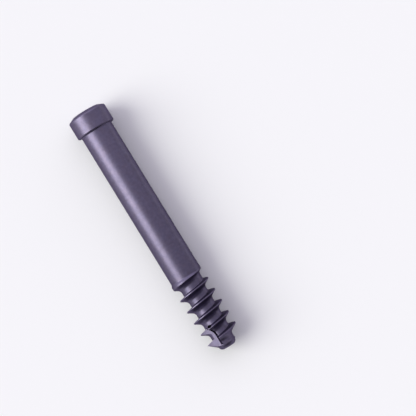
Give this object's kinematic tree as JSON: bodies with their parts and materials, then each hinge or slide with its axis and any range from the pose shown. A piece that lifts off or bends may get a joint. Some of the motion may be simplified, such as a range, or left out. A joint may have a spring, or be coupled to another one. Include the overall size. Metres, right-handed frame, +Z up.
{
  "type": "orthopedic bone screw",
  "caption": "Partly threaded bone screw: cylindrical head with a hex socket, long plain shank, coarse buttress thread and a blunt self-tapping tip, all one piece.",
  "frame": {"origin": "middle of the footprint, on the surface that the screw lies on", "axes": "+X from the head to the tip, along the screw as it lies; +Z up; the axis slopes down towards the tip by 0.56 degrees, because the head is thicker than the thread"},
  "size_m": [0.06, 0.009, 0.009],
  "materials": {
    "anodised_titanium": "violet-grey anodised titanium, satin, with fine turning marks"
  },
  "bodies": {
    "root": {"bone_screw": "anodised_titanium"}
  },
  "joints": []
}
